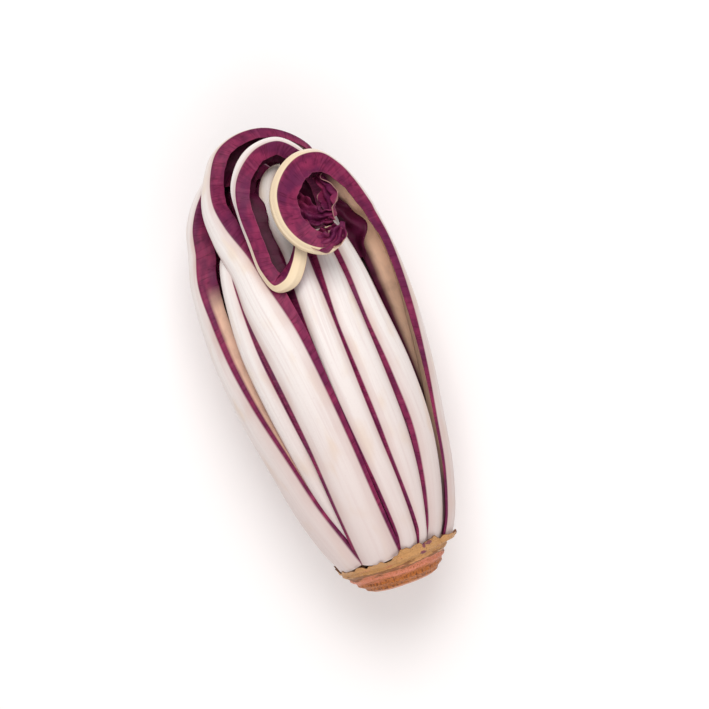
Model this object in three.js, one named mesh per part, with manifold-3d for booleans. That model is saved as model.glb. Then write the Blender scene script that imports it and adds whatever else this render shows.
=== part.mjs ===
import * as THREE from 'three';
import { mergeVertices } from 'three/addons/utils/BufferGeometryUtils.js';
import Module from 'manifold-3d';

// A head of late red Treviso radicchio lying on its side. Its long axis runs along +Y,
// from the trimmed root to the curled leaf tips, and +Z is up. Millimetres and degrees.
// Leaves are laid out round the head's axis: "turn" is the angle round it, 0 on top and
// positive towards +X, and "height" is the distance from the cut end of the root.

// The whole head
const AXIS_ABOVE_FLOOR = 38.2;
const BARREL_HEIGHTS = [8, 12, 20, 30, 40, 60, 80, 100, 120, 138, 150];
const BARREL_RADII = [19.5, 22.5, 26.5, 30, 32.5, 36, 39, 41, 41.5, 40.5, 38.5];
const CLEARANCE = 0.35;
const MERGE_DISTANCE = 1e-4;
const UPRIGHT = [0, 0, 0, 0];

// Heights of the points that carry each rib, and those at which a leaf's lists give a value
const RIB_HEIGHTS = [12.4, 20, 38, 60, 83, 105, 124, 138];
const LISTED_HEIGHTS = [20, 60, 105, 138];

// A leaf's progress runs from 0 at its foot to 1 where its crook begins and 2 at its tip
const LISTED_PROGRESS = [0.143, 0.43, 0.714, 1, 1.5];
const BLUNT_PROGRESS = 1.85;
const BLUNT_SHARE = 0.66;
const CROOK_STEP = 30;
const LEAST_CROOK_STEPS = 3;

// Rib: how far its sides lie below its crest, as a share of its half width, and its thickness,
// which grows with its width and thins out along the leaf
const DROP_PROGRESS = [0, 1, 1.3];
const DROP_SHARES = [0.42, 0.4, 0.28];
const SHOULDER_ACROSS = 0.6;
const SHOULDER_DOWN = 0.3;
const INNER_WIDTH_SHARE = 0.45;
const RIB_THICKNESS = 6.4;
const THINNEST_RIB = 1.6;
const THICKNESS_PER_WIDTH = 0.62;
const THINNING_PROGRESS = [0, 0.6, 1, 1.5, 2];
const THINNING_SHARES = [1, 1, 0.6, 0.45, 0.25];
const TIP_HALF_WIDTH = 1;

// Blades, on both sides of the rib. A blade reaches at most ROOM_SHARE of the way to the eye
// of its crook, and its edge waves by WAVE_SHARE of its width.
const FOLD_PROGRESS = [0.8, 1.15];
const BLADE_THICKNESS = 0.9;
const BLADE_FOOT_THICKNESS = 1.17;
const TIP_BLADE = 0.8;
const NARROWEST_BLADE = 0.5;
const ROOM_SHARE = 0.72;
const WAVE_SHARE = 0.07;
const WAVES_PER_STATION = 0.31;
const WAVE_SIDE_SHIFT = 0.2;

// Root, which stands a little to the right of the axis at its cut end
const ROOT_RIM_HEIGHT = 12;
const ROOT_SHIFT = 1.2;
const ROOT_STRAIGHT_HEIGHT = 20;
const ROOT_SIDES = 32;
const SCALE_POINT_ACROSS = 0.1;
const SCALE_THICKNESS = 0.9;
const SCALE_LEAN = 27;
const SCALE_FOOT_HEIGHT = 9.8;
const SCALE_FOOT_RADIUS = 21.4;
const ROOT_SCALES = [
  { turn: -82, width: 9, height: 5.5 }, { turn: -35, width: 7, height: 4 },
  { turn: 14, width: 8, height: 5 }, { turn: 41, width: 6, height: 4.5 },
  { turn: 78, width: 9, height: 6 }, { turn: 128, width: 7, height: 4.5 },
  { turn: 172, width: 9, height: 5.5 }, { turn: 221, width: 8, height: 5 },
];
const ROOT_PROFILE = [
  [0, 0], [11.5, 0.2], [15, 1.8], [18, 5], [20.6, 8.5], [22.4, 11], [22.4, ROOT_RIM_HEIGHT],
  [6, ROOT_RIM_HEIGHT], [4, 20], [0, 24],
];

const LEAF_RED = 0x8c3050;
const ROOT_BROWN = 0xb8744c;

const radians = THREE.MathUtils.degToRad;

// Value at x of a smooth curve through listed values, flat past its ends, that never overshoots
function listed(xs, ys, x) {
  if (x <= xs[0]) return ys[0];
  const last = xs.length - 1;
  if (x >= xs[last]) return ys[last];
  const slopes = ys.slice(1).map((y, i) => (y - ys[i]) / (xs[i + 1] - xs[i]));
  const bend = (i) => {
    if (i === 0) return slopes[0];
    if (i === last) return slopes[last - 1];
    const [a, b] = [slopes[i - 1], slopes[i]];
    return a * b > 0 ? (2 * a * b) / (a + b) : 0;
  };
  const i = xs.findIndex((value) => value > x) - 1;
  const span = xs[i + 1] - xs[i];
  const w = (x - xs[i]) / span;
  return (2 * w ** 3 - 3 * w ** 2 + 1) * ys[i] + (w ** 3 - 2 * w ** 2 + w) * span * bend(i)
    + (3 * w ** 2 - 2 * w ** 3) * ys[i + 1] + (w ** 3 - w ** 2) * span * bend(i + 1);
}

// Leaves that face the viewer above. A crook drawn point by point has a route, and the eyes
// it winds round; the others wind inwards by a hook rule.
const FRONT_LEAVES = [
  {
    name: 'leaf_right_spiral',
    turn: [82, 85.5, 83, 77.5], dip: [-3.1, -2.1, -0.9, 0.8],
    rib: [6.5, 7.4, 7, 4.8, 3.9], left: [0.8, 1, 2.4, 3.4, 8.5], right: [0.8, 3.6, 9.4, 10, 8],
    fold: [84, 84], lean: [0, 0, 8, 22],
    eyes: [[19, 154, 21], [18.4, 149, 40]],
    route: [
      [37, 148.5, 14], [33.4, 158, 20.5], [28.8, 166.2, 26], [22.3, 172.2, 31], [13.7, 172.6, 35],
      [5.8, 167.8, 38.5], [0.4, 159, 42], [0.2, 147, 44.5], [5.6, 137, 46], [14.4, 132.3, 46],
      [21.4, 135.4, 45.7], [23.9, 141.3, 44.7],
    ],
  },
  {
    name: 'leaf_heart_loop', scale: 0.62,
    turn: [70, 70, 68, 66], dip: [0, 0, 0, 0],
    rib: [5, 5.5, 5, 4.2, 4.1], left: [0.8, 2, 3, 5, 5.4], right: [0.8, 2, 3, 7, 9.5],
    fold: [95, 84],
    eyes: [
      [5, 150, 14], [3, 150, 15], [2, 150, 18], [0, 149, 34], [-1, 145, 33], [-1, 138, 16], [2, 140, 0],
    ],
    route: [
      [22.5, 152, 13], [21.5, 165, 17], [17, 176, 21], [9.4, 182.2, 24], [-0.5, 181.7, 27],
      [-8, 176.5, 29.5], [-13.2, 168, 31], [-14, 157, 32], [-13.6, 145, 33.5], [-12.8, 133, 36],
      [-9.2, 125, 38.5], [-2.8, 125.6, 39.6], [2.4, 131.4, 39.6], [5.6, 138.2, 38.6], [7.6, 145.4, 36.5],
      [9, 152, 32],
    ],
  },
  {
    name: 'leaf_front_broad',
    turn: [-11.5, -14, -21, -35], dip: [-0.8, -1, -0.4, 4],
    rib: [8.4, 8.4, 8.8, 6.4, 4], left: [0.8, 1.2, 2, 3.5, 10], right: [0.7, 1.2, 2.8, 5.6, 5],
    fold: [30, 80],
    eyes: [[-6, 158, 4], [0, 170, 24]],
    route: [
      [-25, 152.5, 27], [-26, 164.6, 22], [-22.6, 176, 17.5], [-16, 185.4, 14], [-6.4, 189.4, 11],
      [5, 188.8, 8], [15, 183, 4.5], [21, 175, 2], [21.5, 167, 0.5],
    ],
  },
  {
    name: 'leaf_left_edge',
    turn: [-56, -67, -75, -77], dip: [-0.4, -1, -2.4, -2],
    rib: [9.5, 10.5, 9.4, 6, 4], left: [0.8, 2, 4, 8, 9], right: [0.7, 2.4, 5.6, 7.6, 6],
    fold: [88, 84],
    eyes: [[-19, 158, 1], [-19, 163, -2]],
    route: [
      [-38.4, 150, 8], [-35.6, 161, 6], [-29.8, 170.8, 4], [-21.5, 178, 1.5], [-12, 178, -2],
      [-5.5, 171.5, -5], [-6, 162.5, -7],
    ],
  },
  {
    name: 'leaf_front_middle',
    turn: [20.5, 10.8, 5, 4], dip: [0.4, 0.6, 4, 12.5],
    rib: [3.9, 4.8, 5.6, 4.6, 2.9], left: [0.8, 1.5, 3, 5, 6], right: [0.8, 2, 3, 5, 6],
    fold: [86, 60],
    eyes: [[0, 150, -10], [4, 158, 4]],
    route: [
      [-0.2, 147, 28], [-1.6, 156, 27], [-1, 164, 24.5], [2.2, 170, 20.5], [7.5, 172.5, 15],
      [12.5, 170, 10],
    ],
  },
  {
    name: 'leaf_front_slim',
    turn: [37.5, 31, 24.4, 29], dip: [0.8, 0.7, 4.2, 12.5],
    rib: [2.2, 5.8, 5.7, 4.1, 3.2], left: [0.8, 1.5, 3, 5, 6], right: [0.8, 2, 3, 5, 6],
    fold: [86, 84],
    hook: { radius: 27, end: 13, sweep: 140, drift: 2 },
  },
  {
    name: 'leaf_front_right',
    turn: [60.5, 57, 43.8, 45], dip: [0.6, 0.5, 3.4, 10],
    rib: [6, 6.6, 5.8, 4.2, 3.2], left: [0.8, 1.5, 3, 5, 6], right: [0.8, 2, 3, 5, 6],
    fold: [86, 84],
    hook: { radius: 20, end: 10, sweep: 190, drift: 0 },
  },
  {
    name: 'leaf_front_left',
    turn: [-34, -39, -46, -50], dip: [4, 1.4, 1.6, 5],
    rib: [1.6, 4.7, 5.2, 4, 3.2], left: [0.8, 1.5, 3, 4, 5], right: [0.8, 1.5, 3, 4, 5],
    fold: [86, 84],
    hook: { radius: 16, end: 8, sweep: 200, drift: -3 },
  },
];

// The leaves underneath, from the right side round to the left
const BACK_TURNS = [109, 133, 158, 182, 207, 231, 256];

// How far in from the barrel the back leaves lie: the three undermost sag onto the floor
const BACK_DIP = [0.4, 0, 0, 3];
const SAGGING_DIPS = { 2: [0.4, -2.6, -0.6, 2.5], 3: [0.4, -2.8, 1, 4], 4: [0.4, -2.6, -0.6, 2.5] };
const BACK_HOOKS = [
  { radius: 13, end: 7, sweep: 250, drift: 6, tall: 1.5 },
  { radius: 17, end: 8, sweep: 200, drift: 5, tall: 1.6 },
  { radius: 12, end: 6, sweep: 270, drift: 5, tall: 1.3 },
  { radius: 18, end: 9, sweep: 190, drift: 5, tall: 1.5 },
  { radius: 13, end: 7, sweep: 250, drift: 5, tall: 1.4 },
  { radius: 17, end: 8, sweep: 195, drift: 5, tall: 1.6 },
  { radius: 12, end: 7, sweep: 230, drift: 5, tall: 1.4 },
];

function backLeaf(turn, i) {
  const sway = i % 2 ? 1 : -1;
  return {
    name: `leaf_back_${i + 1}`,
    turn: [turn, turn, turn + sway, turn + 2 * sway],
    dip: SAGGING_DIPS[i] ?? BACK_DIP,
    rib: [5, 7, 7.8, 5.4, 3.8], left: [0.8, 1.5, 3, 5, 7], right: [0.8, 1.5, 3, 5, 7],
    fold: [96, 84],
    hook: BACK_HOOKS[i],
  };
}

// The small leaves of the heart. The tallest reaches up between the crooks.
const TALL_HEART_LEAVES = [
  {
    name: 'leaf_heart_1', scale: 0.52,
    turn: [-30, -30, -28, -24], dip: [0, 1, 0, -1],
    rib: [4, 5, 4.6, 4, 3.2], left: [0.8, 1.5, 4, 6, 7], right: [0.8, 1.5, 4, 6, 7],
    fold: [90, 84],
    eyes: [[0, 158, 6], [0, 163, 4]],
    route: [
      [-11.5, 149, 21], [-14.5, 160, 18], [-13.5, 170, 14], [-7.5, 177, 10.5], [0, 177, 7.5],
      [5, 171, 5], [6, 163, 3],
    ],
  },
];
const HEART_TURNS = [118, 170, 223, 276];

function heartLeaf(turn, i) {
  return {
    name: `leaf_heart_${i + 2}`, scale: 0.52, reach: 0.84,
    turn: [turn, turn, turn, turn], dip: [0, 1, 2, 4],
    rib: [4, 5, 4.6, 3.4, 2.6], left: [0.8, 1.5, 3, 3.4, 3], right: [0.8, 1.5, 3, 3.4, 3],
    fold: [100, 88],
    hook: { radius: 8, end: 7, sweep: 105, drift: 1 },
  };
}

const LEAVES = [
  ...FRONT_LEAVES,
  ...BACK_TURNS.map(backLeaf),
  ...TALL_HEART_LEAVES,
  ...HEART_TURNS.map(heartLeaf),
];

// Point at a share of the way through listed points, with an equal share for each stretch
function pointAlong(points, share) {
  const place = share * (points.length - 1);
  const i = Math.min(Math.floor(place), points.length - 2);
  return new THREE.Vector3(...points[i]).lerp(new THREE.Vector3(...points[i + 1]), place - i);
}

// Knots of a rib's outer line, and of the line it faces away from
function ribLine(leaf) {
  const knots = [];
  const facing = [];
  for (const height of RIB_HEIGHTS) {
    const turn = radians(listed(LISTED_HEIGHTS, leaf.turn, height));
    const radius = listed(BARREL_HEIGHTS, BARREL_RADII, height) * (leaf.scale ?? 1)
      - listed(LISTED_HEIGHTS, leaf.dip, height);
    const y = RIB_HEIGHTS[0] + (height - RIB_HEIGHTS[0]) * (leaf.reach ?? 1);
    knots.push(new THREE.Vector3(radius * Math.sin(turn), y, radius * Math.cos(turn)));
    facing.push(new THREE.Vector3(0, y, listed(LISTED_HEIGHTS, leaf.lean ?? UPRIGHT, height)));
  }
  if (leaf.route) {
    leaf.route.forEach((point, i) => {
      knots.push(new THREE.Vector3(...point));
      facing.push(pointAlong(leaf.eyes, (i + 1) / leaf.route.length));
    });
  } else {
    const { radius, end, sweep, drift, tall = 1 } = leaf.hook;
    const start = knots.at(-1);
    const outward = new THREE.Vector3(start.x, 0, start.z).normalize();
    const onward = new THREE.Vector3(0, 1, 0);
    const sideways = outward.clone().cross(onward);
    const centre = start.clone().addScaledVector(outward, -radius);
    const steps = Math.max(LEAST_CROOK_STEPS, Math.round(sweep / CROOK_STEP));
    for (let k = 1; k <= steps; k += 1) {
      const share = k / steps;
      const reach = radius + (end - radius) * share;
      const angle = radians(sweep * share);
      const eye = centre.clone().addScaledVector(sideways, drift * share);
      knots.push(eye.clone().addScaledVector(outward, reach * Math.cos(angle))
        .addScaledVector(onward, reach * tall * Math.sin(angle)));
      facing.push(eye);
    }
  }
  return { knots, facing };
}

// Corners of a leaf's cross-section: across the leaf and outwards from the rib's crest.
// Seven run over the outer face from the right edge to the left, and six back along the inner.
function crossSection(leaf, progress, station, room) {
  const at = (values, tip) => listed([...LISTED_PROGRESS, BLUNT_PROGRESS, 2],
    [...values, values.at(-1) * BLUNT_SHARE, tip], progress);
  const half = at(leaf.rib, TIP_HALF_WIDTH);
  const drop = half * listed(DROP_PROGRESS, DROP_SHARES, progress);
  const thick = listed(THINNING_PROGRESS, THINNING_SHARES, progress)
    * Math.min(RIB_THICKNESS, THINNEST_RIB + half * THICKNESS_PER_WIDTH);
  const fold = radians(listed(FOLD_PROGRESS, leaf.fold, progress));
  const edge = (side, wanted) => {
    const length = Math.min(wanted, Math.max(room * ROOM_SHARE - drop, NARROWEST_BLADE));
    const along = new THREE.Vector2(side * Math.cos(fold), -Math.sin(fold));
    const inwards = new THREE.Vector2(-side * Math.sin(fold), -Math.cos(fold));
    const root = new THREE.Vector2(side * half, -drop);
    const phase = station * WAVES_PER_STATION + side * WAVE_SIDE_SHIFT;
    const wave = length * WAVE_SHARE * Math.sin(2 * Math.PI * phase);
    const tip = root.clone().addScaledVector(along, length).addScaledVector(inwards, wave);
    return {
      tip,
      root,
      innerTip: tip.clone().addScaledVector(inwards, BLADE_THICKNESS),
      innerRoot: root.clone().addScaledVector(inwards, BLADE_FOOT_THICKNESS),
    };
  };
  const right = edge(1, at(leaf.right, TIP_BLADE));
  const left = edge(-1, at(leaf.left, TIP_BLADE));
  const floor = -Math.max(thick, drop + BLADE_THICKNESS);
  const onRib = (share, y) => new THREE.Vector2(half * share, y);
  return [
    right.tip, right.root,
    onRib(SHOULDER_ACROSS, -drop * SHOULDER_DOWN), onRib(0, 0), onRib(-SHOULDER_ACROSS, -drop * SHOULDER_DOWN),
    left.root, left.tip, left.innerTip, left.innerRoot,
    onRib(-INNER_WIDTH_SHARE, floor), onRib(INNER_WIDTH_SHARE, floor),
    right.innerRoot, right.innerTip,
  ];
}

const OUTER_CORNERS = 7;

// Sweeps the cross-section along the rib as one closed surface
function leafGeometry(leaf) {
  const { knots, facing } = ribLine(leaf);
  const rib = new THREE.CatmullRomCurve3(knots, false, 'centripetal');
  const focus = new THREE.CatmullRomCurve3(facing, false, 'centripetal');
  const spans = knots.length - 1;
  const bodySpans = RIB_HEIGHTS.length - 1;
  const stations = [];
  for (let i = 0; i <= spans; i += 1) {
    stations.push(i);
    if (i < spans && leaf.route && i >= bodySpans - 1) stations.push(i + 0.5);
  }
  const positions = [];
  for (const station of stations) {
    const progress = station <= bodySpans
      ? station / bodySpans : 1 + (station - bodySpans) / (spans - bodySpans);
    const t = station / spans;
    const point = rib.getPoint(t);
    const along = rib.getTangent(t);
    const outward = point.clone().sub(focus.getPoint(t));
    const room = outward.length();
    outward.addScaledVector(along, -outward.dot(along)).normalize();
    const across = along.clone().cross(outward);
    for (const corner of crossSection(leaf, progress, station, room)) {
      const vertex = point.clone().addScaledVector(across, corner.x)
        .addScaledVector(outward, corner.y);
      positions.push(vertex.x, Math.max(vertex.y, RIB_HEIGHTS[0]),
        Math.max(vertex.z + AXIS_ABOVE_FLOOR, 0));
    }
  }
  const ring = positions.length / 3 / stations.length;
  const indices = [];
  for (let i = 0; i < stations.length - 1; i += 1) {
    for (let j = 0; j < ring; j += 1) {
      const a = i * ring + j;
      const b = i * ring + ((j + 1) % ring);
      const [c, d] = [b + ring, a + ring];
      if (j < OUTER_CORNERS) indices.push(a, c, b, a, d, c);
      else indices.push(a, d, b, b, d, c);
    }
  }
  addCap(indices, 0, ring, true);
  addCap(indices, (stations.length - 1) * ring, ring, false);
  const geometry = new THREE.BufferGeometry();
  geometry.setAttribute('position', new THREE.Float32BufferAttribute(positions, 3));
  geometry.setIndex(indices);
  return geometry;
}

// Closes one end of a swept section as strips between the outer and the inner face
function addCap(indices, first, ring, foot) {
  let outer = 0;
  let inner = ring - 1;
  const face = (a, b, c) => {
    if (foot) indices.push(first + a, first + b, first + c);
    else indices.push(first + a, first + c, first + b);
  };
  while (inner - outer > 1) {
    face(outer, outer + 1, inner);
    outer += 1;
    if (inner - outer > 1) {
      face(outer, inner - 1, inner);
      inner -= 1;
    }
  }
}

// The root: a cut-off cone, whose dry skin ends in small pointed scales over the leaves' feet
function rootSolid() {
  const profile = ROOT_PROFILE.map(([radius, height]) => new THREE.Vector2(radius, height));
  const cone = new THREE.LatheGeometry(profile, ROOT_SIDES);
  cone.translate(ROOT_SHIFT, 0, 0);
  let solid = toSolid(cone);
  for (const { turn, width, height } of ROOT_SCALES) {
    const outline = new THREE.Shape([
      new THREE.Vector2(-width / 2, 0), new THREE.Vector2(width / 2, 0),
      new THREE.Vector2(width * SCALE_POINT_ACROSS, height),
    ]);
    const scale = new THREE.ExtrudeGeometry(outline, { depth: SCALE_THICKNESS, bevelEnabled: false });
    scale.rotateX(radians(SCALE_LEAN));
    scale.translate(0, SCALE_FOOT_HEIGHT, SCALE_FOOT_RADIUS);
    scale.rotateY(radians(turn));
    scale.translate(ROOT_SHIFT * (1 - height / ROOT_STRAIGHT_HEIGHT), 0, 0);
    solid = solid.add(toSolid(scale));
  }
  return solid;
}

const wasm = await Module();
wasm.setup();

// Solid of a closed geometry, grown outwards by the given amount
function toSolid(geometry, growth = 0) {
  let merged = geometry.clone();
  merged.deleteAttribute('normal');
  merged.deleteAttribute('uv');
  merged = mergeVertices(merged, MERGE_DISTANCE);
  if (growth) {
    merged.computeVertexNormals();
    const { position, normal } = merged.attributes;
    for (let i = 0; i < position.count; i += 1) {
      position.setXYZ(i, position.getX(i) + growth * normal.getX(i),
        position.getY(i) + growth * normal.getY(i), position.getZ(i) + growth * normal.getZ(i));
    }
  }
  return new wasm.Manifold(new wasm.Mesh({
    numProp: 3,
    vertProperties: Float32Array.from(merged.attributes.position.array),
    triVerts: Uint32Array.from(merged.index.array),
  }));
}

function toGeometry(solid) {
  const mesh = solid.getMesh();
  const geometry = new THREE.BufferGeometry();
  geometry.setAttribute('position', new THREE.Float32BufferAttribute(mesh.vertProperties, 3));
  geometry.setIndex(Array.from(mesh.triVerts));
  return geometry;
}

function largestPiece(solid) {
  const pieces = solid.decompose();
  return pieces.reduce((best, piece) => (piece.volume() > best.volume() ? piece : best));
}

// Each leaf keeps clear of the root and of the leaves that lie over it
function layLeaves(rootShape) {
  const geometries = [];
  const solids = [];
  const spaces = [toSolid(rootShape, CLEARANCE)];
  for (const leaf of LEAVES) {
    const whole = leafGeometry(leaf);
    let solid = toSolid(whole);
    for (const taken of [...spaces, ...solids]) solid = solid.subtract(taken);
    solid = largestPiece(solid);
    geometries.push(toGeometry(solid));
    solids.push(solid);
    spaces.push(toSolid(whole, CLEARANCE));
  }
  return geometries;
}

const head = new THREE.Group();
const rootShape = toGeometry(rootSolid());
rootShape.translate(0, 0, AXIS_ABOVE_FLOOR);
const leafMaterial = new THREE.MeshStandardMaterial({ color: LEAF_RED, roughness: 0.5 });
layLeaves(rootShape).forEach((geometry, i) => {
  const mesh = new THREE.Mesh(geometry, leafMaterial);
  mesh.name = LEAVES[i].name;
  head.add(mesh);
});
const root = new THREE.Mesh(rootShape,
  new THREE.MeshStandardMaterial({ color: ROOT_BROWN, roughness: 0.8 }));
root.name = 'root';
head.add(root);

// The origin is on the floor under the middle of the whole head
const bounds = new THREE.Box3().setFromObject(head);
const middle = bounds.getCenter(new THREE.Vector3());
head.position.set(-middle.x, -middle.y, -bounds.min.z);

export default head;
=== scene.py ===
"""Head of late Treviso radicchio, lying on a pale table: its looks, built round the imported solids.

The head's own frame, in millimetres, has its axis along +Y from the root's end to the crooks'
tips, +X to the viewer's right and +Z up from the axis. A turn is degrees round the axis from
straight up, positive to the right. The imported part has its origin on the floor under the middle
of the head, so head_to_row() moves points there and to metres.
"""

import math

import bpy
import numpy as np
from mathutils import Matrix, Vector


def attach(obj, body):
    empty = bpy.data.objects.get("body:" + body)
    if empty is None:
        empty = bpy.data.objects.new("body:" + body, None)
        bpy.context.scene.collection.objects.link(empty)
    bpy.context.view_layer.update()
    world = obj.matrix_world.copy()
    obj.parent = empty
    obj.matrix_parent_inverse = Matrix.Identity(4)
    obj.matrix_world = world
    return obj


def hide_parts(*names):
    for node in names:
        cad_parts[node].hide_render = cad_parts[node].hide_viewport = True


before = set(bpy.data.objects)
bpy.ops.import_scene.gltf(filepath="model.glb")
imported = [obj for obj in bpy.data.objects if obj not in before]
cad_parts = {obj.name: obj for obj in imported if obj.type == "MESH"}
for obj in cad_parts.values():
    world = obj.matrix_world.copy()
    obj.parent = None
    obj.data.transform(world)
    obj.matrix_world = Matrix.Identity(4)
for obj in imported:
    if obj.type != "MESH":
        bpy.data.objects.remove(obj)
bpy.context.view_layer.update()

MM = 0.001

# The head's driving dimensions are the same as in the part's source, apart from three things:
# the blades of the four slim front leaves lie flatter, so that their red shows between the
# ribs, the rib of leaf_front_right is a little wider near its foot, and the left blade of
# leaf_right_spiral is narrower there
AXIS_ABOVE_FLOOR = 38.2
BARREL_HEIGHTS = [8, 12, 20, 30, 40, 60, 80, 100, 120, 138, 150]
BARREL_RADII = [19.5, 22.5, 26.5, 30, 32.5, 36, 39, 41, 41.5, 40.5, 38.5]
RIB_HEIGHTS = [12.4, 20, 38, 60, 83, 105, 124, 138]
BODY_SPANS = len(RIB_HEIGHTS) - 1
LISTED_HEIGHTS = [20, 60, 105, 138]
UPRIGHT = [0, 0, 0, 0]
ROOT_SHIFT = 1.2
ROOT_STRAIGHT_HEIGHT = 20

# A leaf's progress runs from 0 at its foot to 1 where its crook begins and 2 at its tip
LISTED_PROGRESS = [0.143, 0.43, 0.714, 1, 1.5]
BLUNT_PROGRESS = 1.85
BLUNT_SHARE = 0.66
CROOK_STEP = 30
LEAST_CROOK_STEPS = 3

# Rib: how far its sides lie below its crest, as a share of its half width, and its thickness
DROP_PROGRESS = [0, 1, 1.3]
DROP_SHARES = [0.42, 0.4, 0.28]
RIB_THICKNESS = 6.4
THINNEST_RIB = 1.6
THICKNESS_PER_WIDTH = 0.62
THINNING_PROGRESS = [0, 0.6, 1, 1.5, 2]
THINNING_SHARES = [1, 1, 0.6, 0.45, 0.25]
TIP_HALF_WIDTH = 1

# Blades, on both sides of the rib
FOLD_PROGRESS = [0.8, 1.15]
BLADE_THICKNESS = 0.9
TIP_BLADE = 0.8
NARROWEST_BLADE = 0.5
ROOM_SHARE = 0.72
WAVE_SHARE = 0.07
WAVES_PER_STATION = 0.31
WAVE_SIDE_SHIFT = 0.2

FRONT_LEAVES = [
    {
        "name": "leaf_right_spiral",
        "turn": [82, 85.5, 83, 77.5],
        "dip": [-3.1, -2.1, -0.9, 0.8],
        "rib": [6.5, 7.4, 7, 4.8, 3.9],
        "left": [0.4, 0.8, 2.4, 3.4, 8.5],
        "right": [0.8, 3.6, 9.4, 10, 8],
        "fold": [84, 84],
        "lean": [0, 0, 8, 22],
        "eyes": [[19, 154, 21], [18.4, 149, 40]],
        "route": [
            [37, 148.5, 14], [33.4, 158, 20.5], [28.8, 166.2, 26], [22.3, 172.2, 31], [13.7, 172.6, 35],
            [5.8, 167.8, 38.5], [0.4, 159, 42], [0.2, 147, 44.5], [5.6, 137, 46], [14.4, 132.3, 46],
            [21.4, 135.4, 45.7], [23.9, 141.3, 44.7],
        ],
    },
    {
        "name": "leaf_heart_loop",
        "scale": 0.62,
        "turn": [70, 70, 68, 66],
        "dip": [0, 0, 0, 0],
        "rib": [5, 5.5, 5, 4.2, 4.1],
        "left": [0.8, 2, 3, 5, 5.4],
        "right": [0.8, 2, 3, 7, 9.5],
        "fold": [95, 84],
        "eyes": [
            [5, 150, 14], [3, 150, 15], [2, 150, 18], [0, 149, 34], [-1, 145, 33], [-1, 138, 16],
            [2, 140, 0],
        ],
        "route": [
            [22.5, 152, 13], [21.5, 165, 17], [17, 176, 21], [9.4, 182.2, 24], [-0.5, 181.7, 27],
            [-8, 176.5, 29.5], [-13.2, 168, 31], [-14, 157, 32], [-13.6, 145, 33.5],
            [-12.8, 133, 36], [-9.2, 125, 38.5], [-2.8, 125.6, 39.6], [2.4, 131.4, 39.6],
            [5.6, 138.2, 38.6], [7.6, 145.4, 36.5], [9, 152, 32],
        ],
    },
    {
        "name": "leaf_front_broad",
        "turn": [-11.5, -14, -21, -35],
        "dip": [-0.8, -1, -0.4, 4],
        "rib": [8.4, 8.4, 8.8, 6.4, 4],
        "left": [0.8, 1.2, 2, 3.5, 10],
        "right": [0.7, 1.2, 2.8, 5.6, 5],
        "fold": [30, 80],
        "eyes": [[-6, 158, 4], [0, 170, 24]],
        "route": [
            [-25, 152.5, 27], [-26, 164.6, 22], [-22.6, 176, 17.5], [-16, 185.4, 14],
            [-6.4, 189.4, 11], [5, 188.8, 8], [15, 183, 4.5], [21, 175, 2], [21.5, 167, 0.5],
        ],
    },
    {
        "name": "leaf_left_edge",
        "turn": [-56, -67, -75, -77],
        "dip": [-0.4, -1, -2.4, -2],
        "rib": [9.5, 10.5, 9.4, 6, 4],
        "left": [0.8, 2, 4, 8, 9],
        "right": [0.7, 2.4, 5.6, 7.6, 6],
        "fold": [88, 84],
        "eyes": [[-19, 158, 1], [-19, 163, -2]],
        "route": [
            [-38.4, 150, 8], [-35.6, 161, 6], [-29.8, 170.8, 4], [-21.5, 178, 1.5], [-12, 178, -2],
            [-5.5, 171.5, -5], [-6, 162.5, -7],
        ],
    },
    {
        "name": "leaf_front_middle",
        "turn": [20.5, 10.8, 5, 4],
        "dip": [0.4, 0.6, 4, 12.5],
        "rib": [3.9, 4.8, 5.6, 4.6, 2.9],
        "left": [0.8, 1.5, 3, 5, 6],
        "right": [0.8, 2, 3, 5, 6],
        "fold": [50, 60],
        "eyes": [[0, 150, -10], [4, 158, 4]],
        "route": [
            [-0.2, 147, 28], [-1.6, 156, 27], [-1, 164, 24.5], [2.2, 170, 20.5], [7.5, 172.5, 15],
            [12.5, 170, 10],
        ],
    },
    {
        "name": "leaf_front_slim",
        "turn": [37.5, 31, 24.4, 29],
        "dip": [0.8, 0.7, 4.2, 12.5],
        "rib": [2.2, 5.8, 5.7, 4.1, 3.2],
        "left": [0.8, 1.5, 3, 5, 6],
        "right": [0.8, 2, 3, 5, 6],
        "fold": [50, 84],
        "hook": {"radius": 27, "end": 13, "sweep": 140, "drift": 2},
    },
    {
        "name": "leaf_front_right",
        "turn": [62.5, 58.6, 43.9, 45],
        "dip": [0.6, 0.5, 3.4, 10],
        "rib": [7, 7.6, 5.9, 4.2, 3.2],
        "left": [0.8, 1.5, 3, 5, 6],
        "right": [0.8, 2, 3, 5, 6],
        "fold": [50, 84],
        "hook": {"radius": 20, "end": 10, "sweep": 190, "drift": 0},
    },
    {
        "name": "leaf_front_left",
        "turn": [-34, -39, -46, -50],
        "dip": [4, 1.4, 1.6, 5],
        "rib": [1.6, 4.7, 5.2, 4, 3.2],
        "left": [0.8, 1.5, 3, 4, 5],
        "right": [0.8, 1.5, 3, 4, 5],
        "fold": [50, 84],
        "hook": {"radius": 16, "end": 8, "sweep": 200, "drift": -3},
    },
]

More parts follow.
